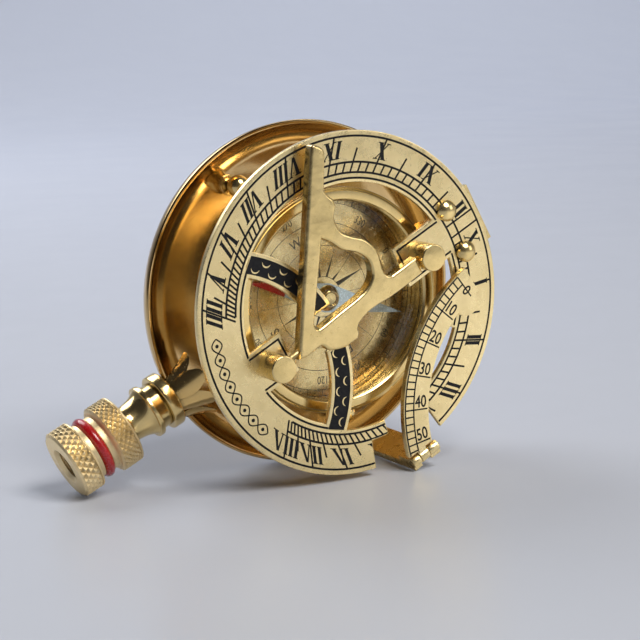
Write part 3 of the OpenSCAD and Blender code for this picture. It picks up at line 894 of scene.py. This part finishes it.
def build_arc():
    centre = Vector((44.1, 30.0))
    radius = 36.4
    width = 6.4
    scale_r = radius - 2.5
    edge_r = radius - 0.38
    label_edge = radius - width + 0.35
    thick = 1.5
    root_x = 36.4
    first, length = 9.5, 75          # the strip's first angle and how far it runs, in degrees
    barrel_y = (-3.25, -0.95)
    barrel_r = 1.3
    hinge = TO_DIAL @ Vector(joints["arc_fold"]["pos_m"])
    top = hinge.z + thick / 2
    zero = 80.2
    unit = 1.279

    def spot(r, a):
        """a is counted from due south towards west, about the arc's centre."""
        return centre + r * heading(180 - a)

    strip = [spot(radius, first + length * k / 60) for k in range(61)]
    strip += [spot(radius - width, first + length - length * k / 60) for k in range(61)]
    lobe = circle(3.4, spot(radius - width + 0.4, 77.5), 48)
    tongue = box(root_x - 2.5, barrel_y[0], hinge.x - 0.4, barrel_y[1])
    block = box(root_x, -20, 60, 40)

    def inside(names):
        return "tongue" in names or (bool(names & {"strip", "lobe"}) and "block" not in names)

    loops = outlines({"strip": [[strip]], "lobe": [[lobe]], "tongue": [[tongue]], "block": [[block]]}, inside)
    ink = []
    last = 50

    def along(r, w, u0, u1):
        count = 60
        inner = [spot(r - w / 2, zero - unit * (u0 + (u1 - u0) * k / count)) for k in range(count + 1)]
        outer = [spot(r + w / 2, zero - unit * (u0 + (u1 - u0) * k / count)) for k in range(count + 1)]
        return inner + outer[::-1]

    ink.append([along(scale_r, 0.36, 0, last + 3)])
    ink.append([along(edge_r, 0.36, 0, last + 4)])
    for u in range(0, last + 5, 2):
        a = zero - unit * u
        start = label_edge if u % 10 == 0 else scale_r
        ink.append([stroke(spot(start, a), spot(edge_r, a), 0.34)])
    for u in range(0, last + 1, 10):
        a = zero - unit * u
        lift = 0.0 if u == 0 else 1.75
        at = spot((scale_r + label_edge) / 2 + 0.05, a + math.degrees(lift / 32))
        up = heading(180 - a)
        up = Vector((up.y, -up.x))
        across = -heading(180 - a)
        if up.x * across.y - up.y * across.x > 0:
            up = -up
        size, stretch = (2.75, 0.78) if u else (2.4, 0.95)
        ink.append(lettering(str(u), at, across, up, size, stretch, 0.018))
    solid = sheet(loops, top, top - thick, 0.16, 2, ink, 0.11)
    y0, y1 = barrel_y
    barrel = rounded([(0, y0), (barrel_r, y0), (barrel_r, y1), (0, y1)], 0.15, 3)
    verts, faces = lathe(barrel, 48, False)
    place = Matrix.Translation((hinge.x, 0, hinge.z)) @ Matrix.Rotation(math.radians(-90), 4, "X")
    solid.add(verts, faces, 0, place)
    sheet_piece("latitude_arc_engraved", "arc", solid, [face_brass, enamel], ["latitude_arc"])


# ---------------------------------------------------------------- dish, case and compass


def build_dish():
    r = reach("base_dish") - 0.002    # a hair inside the CAD solid
    h = span("base_dish")[1].z
    floor = 1.2
    flat = r - 5.2
    outer = bend((flat, 0), (r - 0.4, 0), (r, h - 0.6), 14)
    rim = [Vector(p) for p in ((r, h - 0.6), (r - 0.06, h - 0.22), (r - 0.28, h), (r - 0.75, h),
                               (r - 0.92, h - 0.10))]
    inner = bend((r - 1.0, h - 0.25), (r - 2.6, floor), (flat - 1.5, floor), 28)
    profile = [Vector((0, 0))] + outer + rim + inner + [Vector((flat - 1.5, floor)), Vector((0, floor))]
    verts, faces = lathe(profile, 220, False)
    piece("dish_polished", "base", verts, faces, gold, nodes=["base_dish"], angle=40)


def build_case():
    r = reach("compass_case")
    lo, hi = span("compass_case")
    wall = 1.5
    shelf = span("compass_dial")[0].z
    ledge = span("compass_glass")[0].z
    profile = [(r, lo.z), (r, hi.z), (r - wall, hi.z), (r - wall, ledge), (r - wall - 0.8, ledge),
               (r - wall - 0.8, ledge - 0.6), (r - wall, ledge - 0.6), (r - wall, shelf), (1.0, shelf),
               (1.0, shelf - 1.2), (r - wall, shelf - 1.2), (r - wall, lo.z)]
    turned("case_shell", "base", profile, case_brass, 0.12, nodes=["compass_case"], segments=160)


def build_bezel():
    r = reach("bezel_ring")
    lo, hi = span("bezel_ring")
    inner = 21.4
    profile = [(inner, lo.z), (inner, hi.z - 0.55), (inner + 0.55, hi.z), (r - 0.75, hi.z),
               (r - 0.5, hi.z - 0.22), (r, hi.z - 0.3), (r, lo.z)]
    turned("bezel", "base", profile, turned_brass, 0.16, nodes=["bezel_ring"], segments=160)


def build_glass():
    r = reach("compass_glass")
    lo, hi = span("compass_glass")
    profile = [(0, lo.z), (r, lo.z), (r, hi.z), (0, hi.z)]
    turned("crystal_glass", "base", profile, crystal, 0.15, nodes=["compass_glass"])


def build_card():
    lo, hi = span("compass_dial")
    r = reach("compass_dial")
    rim, degrees, letters, rose, hub = 21.9, 20.5, 16.2, 11.2, 4.4    # radii of the printed circles
    ink = []
    for radius, w in ((rim, 0.16), (degrees, 0.12), (letters, 0.14), (rose, 0.12), (hub, 0.12)):
        ink.append([circle(radius + w / 2, steps=160), circle(radius - w / 2, steps=160)])
    for k in range(72):
        major = k % 2 == 0
        a = 5 * k
        stop, w = (rim, 0.16) if major else (21.2, 0.1)
        ink.append([stroke(heading(a) * degrees, heading(a) * stop, w)])
    for k in range(12):
        a = -30 * k
        up = heading(a)
        right = Vector((up.y, -up.x))
        ink.append(lettering(str(30 * k), up * 18.4, right, up, 1.7, 0.8))
    for k in range(16):
        a = 22.5 * k
        if k % 4 == 0:
            up = heading(-a)
            right = Vector((up.y, -up.x))
            ink.append(lettering("NESW"[k // 4], up * 13.7, right, up, 2.1, 0.9))
        long = k % 4 == 0
        d = heading(a)
        side = Vector((-d.y, d.x))
        tip = rose if long else (9.4 if k % 2 == 0 else 7.0)
        ink.append([[d * tip, d * hub + side * (1.0 if long else 0.55), d * hub]])
        ink.append([stroke(d * hub, d * (letters if k % 2 else rose), 0.09)])
    plan = [circle(r - 0.02, steps=160), circle(1.0, steps=40)[::-1]]
    solid = sheet(plan, hi.z, lo.z, 0.08, 1, ink, 0.04)
    sheet_piece("compass_card", "base", solid, [card, print_ink], ["compass_dial"])


def build_needle():
    lo, hi = span("compass_needle")
    half = max((TO_DIAL @ v.co).xy.length for v in frame["nodes"]["compass_needle"].data.vertices)
    tip = max((TO_DIAL @ v.co for v in frame["nodes"]["compass_needle"].data.vertices), key=lambda p: -p.x)
    toward = Vector((tip.x, tip.y)).normalized()
    side = Vector((-toward.y, toward.x))
    w = 3.25
    solid = Solid()
    z0, z1 = lo.z, hi.z
    split = 0.53    # the enamel starts at this share of the arm
    for sign in (1, -1):
        picks = []
        verts = []
        faces = []
        for share in (0.0, split, 1.0):
            c = toward * sign * half * share
            reach_side = side * w * (1 - share) * 0.98
            lift = 0.16 * (1 - share)
            verts += [(*(c + reach_side), z0 + 0.05), (*(c + reach_side), z1 - 0.16), (*c, z1 + lift - 0.14),
                      (*(c - reach_side), z1 - 0.16), (*(c - reach_side), z0 + 0.05), (*c, z0)]
        for row in range(2):
            for k in range(6):
                a = row * 6 + k
                b = row * 6 + (k + 1) % 6
                faces.append([a, b, b + 6, a + 6])
                picks.append(1 if sign > 0 and row == 1 else 0)
        faces.append(list(range(6)))
        picks.append(0)
        solid.add(verts, faces, picks)
    piece("needle_lozenge", "needle", solid.verts, solid.faces, [blue_steel, red_enamel], solid.picks,
          nodes=["compass_needle"], angle=20)


def build_needle_cap():
    lo, hi = span("needle_cap")
    r = reach("needle_cap")
    base = span("compass_needle")[1].z
    bore = lo.z + 1.3
    recess = hi.z - 0.5
    profile = [(0.5, lo.z), (1.5, lo.z), (1.5, base), (r - 0.02, base), (r - 0.05, base + 0.28),
               (1.92, hi.z - 0.15), (1.75, hi.z), (1.5, hi.z), (1.35, recess), (0, recess), (0, bore),
               (0.5, bore)]
    verts, faces = lathe(rounded(profile, 0.1, 3, True), 72, True)
    piece("needle_hub", "needle", verts, faces, turned_brass, nodes=["needle_cap"])


# ---------------------------------------------------------------- stick coupling


def knurled_band(z0, z1, r, count, depth=0.42, flat=0.2):
    """Diamond knurling on a cylinder, each diamond a low pyramid with its tip worn flat."""
    step = 2 * math.pi / (2 * count)
    rows = max(2, int(round((z1 - z0) / (step * r))))
    rows += rows % 2
    dz = (z1 - z0) / rows
    verts = []
    faces = []
    index = {}

    def vert(m, k, level):
        m = m % (2 * count)
        key = (round(m, 4), round(k, 4), level)
        if key not in index:
            index[key] = len(verts)
            rr = r - depth * (1 - level)
            verts.append((rr * math.cos(m * step), rr * math.sin(m * step), z0 + k * dz))
        return index[key]

    for k in range(rows + 1):
        for m in range(2 * count):
            if (m + k) % 2:
                continue
            corners = [(m + 1, k), (m, k + 1), (m - 1, k), (m, k - 1)]
            tips = [(m + flat, k), (m, k + flat), (m - flat, k), (m, k - flat)]
            for i in range(4):
                j = (i + 1) % 4
                if not all(0 <= c[1] <= rows for c in (corners[i], corners[j])):
                    continue
                faces.append([vert(*corners[i], 0.0), vert(*corners[j], 0.0), vert(*tips[j], 1.0),
                              vert(*tips[i], 1.0)])
            inner = [vert(*t, 1.0) for t in tips if 0 <= t[1] <= rows]
            faces.append(inner)
    rims = []
    for k in (0, rows):
        rim = []
        for m in range(2 * count):
            if (m + k) % 2:
                rim.append(vert(m, k, 0.0))
            else:
                rim += [vert(m - flat, k, 1.0), vert(m + flat, k, 1.0)]
        rims.append(rim)
    return verts, faces, rims


def knurled_body(z0, z1, r, count, margins, end_profiles):
    """A knurled cylinder closed by plain turned ends. end_profiles are (radius, z) runs from the rim
    inward."""
    verts, faces, rims = knurled_band(z0 + margins[0], z1 - margins[1], r, count)
    solid = Solid().add(verts, faces)
    ends = []
    for rim, run in zip(rims, end_profiles):
        angles = [math.atan2(verts[i][1], verts[i][0]) for i in rim]
        previous = rim
        for rr, z in run:
            base = len(solid.verts)
            solid.verts += [(rr * math.cos(a), rr * math.sin(a), z) for a in angles]
            current = list(range(base, base + len(angles)))
            n = len(angles)
            for k in range(n):
                solid.faces.append([previous[k], previous[(k + 1) % n], current[(k + 1) % n], current[k]])
                solid.picks.append(0)
            previous = current
        ends.append(previous)
    low, high = ends
    n = len(low)
    for k in range(n):
        solid.faces.append([low[k], low[(k + 1) % n], high[(k + 1) % n], high[k]])
        solid.picks.append(0)
    return solid


INTO_STEM = STEM.inverted()
cap_lo, cap_hi = span("knurled_cap", INTO_STEM)
collar_lo, collar_hi = span("knurled_collar", INTO_STEM)
CAP_R = reach("knurled_cap", INTO_STEM)
COLLAR_R = reach("knurled_collar", INTO_STEM)
SOCKET_R = mounts["stick_socket"]["dims"]["r_mm"]
NECK_R = 6.2
COLLAR_BAND = (collar_lo.z, collar_lo.z + 5.0)
ring_lo_s, ring_hi_s = span("o_ring", INTO_STEM)
CORD_R = (ring_hi_s.z - ring_lo_s.z) / 2
CORD_MID = (ring_hi_s.z + ring_lo_s.z) / 2


LIP = 0.55      # plain edge left beside the knurling, on the disc's side
KNURLS = 30
KNURL_MARGINS = (LIP + 0.15, 0.5)


def lip(r, z):
    """Run of (radius, z) points from the knurling round the plain edge to the end face."""
    return [(r - 0.32, z + LIP + 0.05), (r - 0.04, z + LIP - 0.1), (r - 0.02, z + 0.28), (r - 0.12, z + 0.08),
            (r - 0.4, z)]


def thread(r, z0, z1, pitch=0.5, cut=0.28):
    """A run of (radius, z) points that zigzags like an internal thread. Its rings aren't a helix."""
    count = int((z1 - z0) / pitch)
    run = []
    for k in range(count):
        z = z0 + (z1 - z0) * k / count
        run.append((r, z))
        run.append((r + cut, z + pitch / 2))
    return run + [(r, z1)]


def build_cap():
    bottom = lip(CAP_R, cap_lo.z)
    bottom += [(5.1, cap_lo.z), (5.05, cap_lo.z + 2.05), (SOCKET_R + 0.3, cap_lo.z + 2.06)]
    mouth = thread(SOCKET_R + 0.02, cap_hi.z - 2.5, cap_hi.z - 0.8)[::-1]
    top = [(CAP_R - 0.42, cap_hi.z - 0.32), (CAP_R - 0.62, cap_hi.z - 0.06), (CAP_R - 0.9, cap_hi.z),
           (SOCKET_R + 0.85, cap_hi.z), (SOCKET_R + 0.75, cap_hi.z - 0.06)] + mouth
    solid = knurled_body(cap_lo.z, cap_hi.z, CAP_R, KNURLS, KNURL_MARGINS, (bottom, top))
    piece("cap_knurled", "cap", solid.verts, solid.faces, knurl_brass, place=STEM,
          nodes=["knurled_cap"], angle=24)


def build_collar():
    z0, z1 = COLLAR_BAND
    end = collar_hi.z
    bore_end = z0 + 2.2
    bottom = lip(COLLAR_R, z0) + [(2.05, z0), (2.05, bore_end)]
    groove = []
    for k in range(9):
        a = math.pi * k / 8
        groove.append((NECK_R - CORD_R * 0.72 * math.sin(a), CORD_MID - CORD_R * math.cos(a)))
    top = [(COLLAR_R - 0.45, z1 - 0.25), (COLLAR_R - 0.8, z1), (NECK_R + 0.25, z1), (NECK_R, z1 + 0.25)]
    top += groove + [(NECK_R, end - 2.25), (NECK_R - 0.2, end - 2.05), (5.0, end - 2.05), (5.0, end - 0.15),
                     (4.85, end), (SOCKET_R + 0.4, end)]
    top += [(SOCKET_R, end - 0.4), (SOCKET_R, bore_end)]
    solid = knurled_body(z0, z1, COLLAR_R, KNURLS, KNURL_MARGINS, (bottom, top))
    piece("collar_knurled", "base", solid.verts, solid.faces, knurl_brass, place=STEM,
          nodes=["knurled_collar"], angle=24)


def build_o_ring():
    verts = []
    faces = []
    around, section = 128, 28
    mid = NECK_R - 0.35
    for k in range(around):
        a = 2 * math.pi * k / around
        for s in range(section):
            b = 2 * math.pi * s / section
            sag = 1 + 0.02 * math.sin(3 * a)
            rr = mid + CORD_R * math.cos(b) * sag * 0.995
            verts.append((rr * math.cos(a), rr * math.sin(a), CORD_MID + CORD_R * 0.985 * math.sin(b)))
    for k in range(around):
        for s in range(section):
            n, t = (k + 1) % around, (s + 1) % section
            faces.append([k * section + s, n * section + s, n * section + t, k * section + t])
    piece("o_ring_red", "base", verts, faces, red_rubber, place=STEM, nodes=["o_ring"],
          angle=60)


def build_neck():
    lo, hi = span("finial_neck", INTO_STEM)
    start = lo.z
    recess_r, lip_r, throat = 5.1, 6.0, 4.1
    lip0, lip1 = start + 2.5, start + 3.6
    profile = [(0, start), (recess_r, start), (recess_r, lip0), (lip_r, lip0), (lip_r, lip1),
               (lip_r - 0.35, lip1)]
    profile = rounded(profile, 0.22, 3)
    end = hi.z
    bell = bend((lip_r - 0.5, lip1), (throat + 0.2, lip1 + 1.2), (throat, lip1 + 4.0), 14)
    bell += bend((throat, lip1 + 4.0), (throat, end - 0.8), (throat + 0.5, end), 8)
    profile += bell + [Vector((throat + 0.5, end)), Vector((0, end))]
    verts, faces = lathe(profile, 112, False)
    piece("neck_turned", "base", verts, faces, turned_brass, place=STEM, nodes=["finial_neck"])


def build_flange():
    lo, hi = span("flange_disc", INTO_STEM)
    r = reach("flange_disc", INTO_STEM)
    profile = [(0, lo.z), (r, lo.z), (r, hi.z), (0, hi.z)]
    turned("flange_turned", "base", profile, turned_brass, 0.45, STEM, ["flange_disc"], segments=112)


def build_crown():
    """Leaves that spring from the flange and flare over the dish, each a curved, ribbed sheet."""
    lo, hi = span("leaf_crown", INTO_STEM)
    dish_top = span("base_dish")[1].z
    dish_r = reach("base_dish")
    root_s = hi.z
    tip_s = lo.z
    solid = Solid()
    rows, columns = 22, 14
    thick = 0.32
    for number, turn in enumerate((-66, -24, 20, 62)):
        half = math.radians(25)
        tier = 0.28 * (number % 2)
        grid = {}
        for side in (0, 1):
            for i in range(rows + 1):
                t = i / rows
                s = root_s + (tip_s - root_s) * t
                flare = 4.7 + tier + 1.2 * t + 2.3 * t ** 2
                taper = math.sqrt(max(0.0, 1 - (max(t - 0.35, 0) / 0.65) ** 2.4))
                wide = half * (0.78 + 0.24 * math.sin(math.pi * min(t / 0.8, 1.0))) * (taper + 0.02)
                for j in range(columns + 1):
                    u = 2 * j / columns - 1
                    a = math.radians(turn) + wide * u
                    belly = 0.45 * (1 - u * u) * math.sin(math.pi * (0.15 + 0.8 * t))
                    rib = 0.10 * math.exp(-(u / 0.25) ** 2) * (1 - t)
                    rr = flare + belly + rib - side * thick
                    x = rr * math.sin(a)
                    y = rr * math.cos(a)
                    lift = dish_top + 0.08 - STEM_ORIGIN.z
                    over_dish = (TO_DIAL @ STEM @ Vector((x, y, s))).xy.length < dish_r + 0.3
                    y = max(y, lift) if over_dish else y
                    grid[(side, i, j)] = (x, y, s)
        index = {}
        verts = []
        for key, p in grid.items():
            index[key] = len(verts)
            verts.append(p)
        faces = []
        for i in range(rows):
            for j in range(columns):
                quad = [(i, j), (i, j + 1), (i + 1, j + 1), (i + 1, j)]
                faces.append([index[(0, *q)] for q in quad])
                faces.append([index[(1, *q)] for q in quad[::-1]])
        rim = [(i, 0) for i in range(rows)] + [(rows, j) for j in range(columns)]
        rim += [(i, columns) for i in range(rows, 0, -1)] + [(0, j) for j in range(columns, 0, -1)]
        for a, b in zip(rim, rim[1:] + rim[:1]):
            faces.append([index[(0, *b)], index[(0, *a)], index[(1, *a)], index[(1, *b)]])
        solid.add(verts, faces)
    piece("leaf_crown_sheet", "base", solid.verts, solid.faces, leaf_gold, place=STEM, nodes=["leaf_crown"],
          angle=50)


# ---------------------------------------------------------------- screws, hinges and bracket


def build_screws():
    for side in ("west", "east"):
        node = "levelling_screw_" + side
        lo, hi = span(node)
        mid = (lo + hi) / 2
        r = (hi.x - lo.x) / 2
        ball_z = hi.z - r
        profile = [Vector((0, lo.z)), Vector((1.2, lo.z)), Vector((1.2, ball_z - r - 0.15))]
        profile += [Vector((1.35, ball_z - r + 0.1))]
        for k in range(3, 25):
            a = math.pi * k / 24
            profile.append(Vector((r * math.sin(a), ball_z - r * math.cos(a))))
        verts, faces = lathe(profile, 64, False)
        place = DIAL @ Matrix.Translation((mid.x, mid.y, 0))
        piece("ball_screw_" + side, "screw_" + side, verts, faces, turned_brass, place=place, nodes=[node])


def bevelled_node(node, mat, width=0.2, segments=2):
    """Keeps a CAD node's shape, with softened edges and a better material."""
    obj = frame["nodes"][node]
    obj.data.materials.clear()
    obj.data.materials.append(mat)
    weld = obj.modifiers.new("weld", "WELD")
    weld.merge_threshold = 1e-6
    bevel = obj.modifiers.new("bevel", "BEVEL")
    bevel.width = width * MM
    bevel.segments = segments
    bevel.limit_method = "ANGLE"
    bevel.angle_limit = math.radians(40)
    bevel.harden_normals = True
    return obj


def build_small_parts():
    bevelled_node("hinge_bracket", cast_brass, 0.25)
    bevelled_node("ring_hinge_leaf", cast_brass, 0.12)
    bevelled_node("arc_bracket", face_brass, 0.22)
    bevelled_node("screw_bosses", case_brass, 0.1)
    for node in ("ring_hinge_pin", "arc_hinge_pin", "gnomon_pivots", "finial_stud"):
        bevelled_node(node, pin_metal, 0.1)
    bevelled_node("needle_pivot", turned_brass, 0.05)


# ---------------------------------------------------------------- stage, light and camera


def build_stage():
    """A floor that sweeps up into a pale wall behind the object."""
    floor_z = -reach("base_dish") * MM - 0.0001
    half_width = 12.0
    front = -12.0
    foot = 0.9
    radius = 1.6
    wall_top = 4.0
    steps = 40
    line = [(front, 0.0), (-0.5, 0.0), (0.3, 0.0)]
    for k in range(steps + 1):
        a = math.pi / 2 * k / steps
        line.append((foot + radius * math.sin(a), radius * (1 - math.cos(a))))
    line.append((foot + radius, wall_top))
    verts = [(x, y, floor_z + z) for y, z in line for x in (-half_width, half_width)]
    faces = [(2 * i, 2 * i + 1, 2 * i + 3, 2 * i + 2) for i in range(len(line) - 1)]
    mesh = bpy.data.meshes.new("floor")
    mesh.from_pydata(verts, [], faces)
    mesh.polygons.foreach_set("use_smooth", [True] * len(faces))
    floor = link(bpy.data.objects.new("floor", mesh))
    n = Nodes("floor_gloss")
    split = n.new("ShaderNodeSeparateXYZ")
    n.link(n.mm.outputs[0], split.inputs[0])
    # Painted light and shade: the floor's grey-blue tone is painted darker near the front and paler towards the
    # wall, where the light falls more brightly on the sweep.
    away = n.remap(split.outputs["Y"], -100, 900, 0.0, 1.0)
    plain = n.mix(away, (0.44, 0.455, 0.495), (0.66, 0.695, 0.80))
    # Painted light: only in reflections, the floor on the light's side is painted brighter. Seen directly it stays
    # plain.
    beside = n.remap(split.outputs["X"], -20, 50, 0.0, 1.0)
    before = n.math("MULTIPLY", n.remap(split.outputs["Y"], 0, -50, 0.0, 1.0),
                    n.remap(split.outputs["Y"], -900, -200, 0.0, 1.0))
    path = n.new("ShaderNodeLightPath")
    painted_floor_light = n.math("MULTIPLY", n.math("MULTIPLY", beside, before), path.outputs["Is Glossy Ray"])
    n.link(n.mix(painted_floor_light, plain, (0.80, 0.80, 0.80)), n.shader.inputs["Base Color"])
    n.link(n.remap(n.noise(0.02, 3), 0.3, 0.7, 0.30, 0.40), n.shader.inputs["Roughness"])
    n.shader.inputs["Specular IOR Level"].default_value = 0.3
    mesh.materials.append(n.mat)


def area_light(name, place, aim, size, power, colour):
    light = bpy.data.lights.new(name, "AREA")
    light.energy = power
    light.color = colour
    light.shape = "RECTANGLE"
    light.size = size
    light.size_y = size
    obj = bpy.data.objects.new(name, light)
    obj.location = place
    obj.rotation_euler = (Vector(aim) - Vector(place)).to_track_quat("-Z", "Y").to_euler()
    bpy.context.scene.collection.objects.link(obj)
    return obj


def build_light():
    """Dark ceiling and left side, bright low right side, and a softbox over the camera's right shoulder."""
    world = bpy.data.worlds.new("studio")
    bpy.context.scene.world = world
    world.use_nodes = True
    tree = world.node_tree
    back = tree.nodes["Background"]
    coords = tree.nodes.new("ShaderNodeTexCoord")
    split = tree.nodes.new("ShaderNodeSeparateXYZ")
    tree.links.new(coords.outputs["Generated"], split.inputs[0])

    def ramp(axis, stops):
        shift = tree.nodes.new("ShaderNodeMapRange")
        shift.inputs["From Min"].default_value = -1
        tree.links.new(split.outputs[axis], shift.inputs["Value"])
        node = tree.nodes.new("ShaderNodeValToRGB")
        tree.links.new(shift.outputs["Result"], node.inputs["Fac"])
        for stop, (position, colour) in zip(node.color_ramp.elements, (stops[0], stops[-1])):
            stop.position = position
            stop.color = (*colour, 1)
        for position, colour in stops[1:-1]:
            node.color_ramp.elements.new(position).color = (*colour, 1)
        return node.outputs["Color"]

    height = ramp("Z", ((0.0, (0.42, 0.42, 0.45)), (0.46, (0.85, 0.86, 0.90)), (0.53, (0.50, 0.51, 0.55)),
                        (0.66, (0.22, 0.23, 0.25)), (1.0, (0.10, 0.10, 0.11))))
    sides = ramp("X", ((0.0, (0.16, 0.15, 0.15)), (0.35, (0.42, 0.41, 0.41)), (0.65, (1.0, 0.99, 0.97)),
                       (1.0, (1.15, 1.12, 1.06))))
    blend = tree.nodes.new("ShaderNodeMix")
    blend.data_type = "RGBA"
    blend.blend_type = "MULTIPLY"
    blend.inputs[0].default_value = 1.0
    tree.links.new(height, blend.inputs[6])
    tree.links.new(sides, blend.inputs[7])
    tree.links.new(blend.outputs[2], back.inputs["Color"])
    back.inputs["Strength"].default_value = 0.85
    target = (0, -0.02, 0)
    area_light("key_softbox", (0.10, -0.60, 0.80), target, 0.50, 9.5, (1.0, 0.98, 0.95))
    area_light("fill_softbox", (1.20, -1.10, 0.60), target, 0.80, 3.8, (1.0, 0.98, 0.96))
    area_light("back_softbox", (-0.25, 0.75, 0.75), target, 0.7, 6.5, (0.95, 0.97, 1.0))
    area_light("wall_wash", (1.1, 0.9, 1.7), (1.3, 2.4, 0.5), 1.2, 20.0, (0.96, 0.98, 1.0))


def build_camera():
    """The viewpoint was found in a frame with noon at 29.6 degrees; turning it about the disc's axis
    keeps the same view of the object for any noon."""
    noon_seen = 29.6
    noon_now = math.degrees(math.atan2(NOON.z, NOON.x))
    pan = math.radians(30.3)
    pitch = math.radians(9.26)
    place = Vector((-0.1970, -0.3234, 0.0584))
    forward = Vector((math.sin(pan) * math.cos(pitch), math.cos(pan) * math.cos(pitch), -math.sin(pitch)))
    turn = Matrix.Rotation(math.radians(noon_seen - noon_now), 4, "Y")
    centre = Vector((0, -RING_FACE * MM, 0))
    camera = bpy.data.cameras.new("camera")
    camera.lens = 102.15
    camera.sensor_width = 36
    camera.clip_start = 0.01
    obj = bpy.data.objects.new("camera", camera)
    up = Vector((0, 0, 1))
    right = forward.cross(up).normalized()
    up = right.cross(forward)
    basis = Matrix((right, up, -forward)).transposed().to_4x4()
    obj.matrix_world = Matrix.Translation(centre) @ turn @ Matrix.Translation(place) @ basis
    bpy.context.scene.collection.objects.link(obj)
    bpy.context.scene.camera = obj


for build in (build_dish, build_case, build_bezel, build_glass, build_card, build_needle,
              build_needle_cap, build_ring, build_posts, build_rivets, build_gnomon, build_arc,
              build_cap, build_collar, build_o_ring, build_neck, build_flange, build_crown,
              build_screws, build_small_parts, build_stage, build_light, build_camera):
    build()
bpy.context.scene.view_settings.view_transform = "Standard"

bpy.context.view_layer.update()
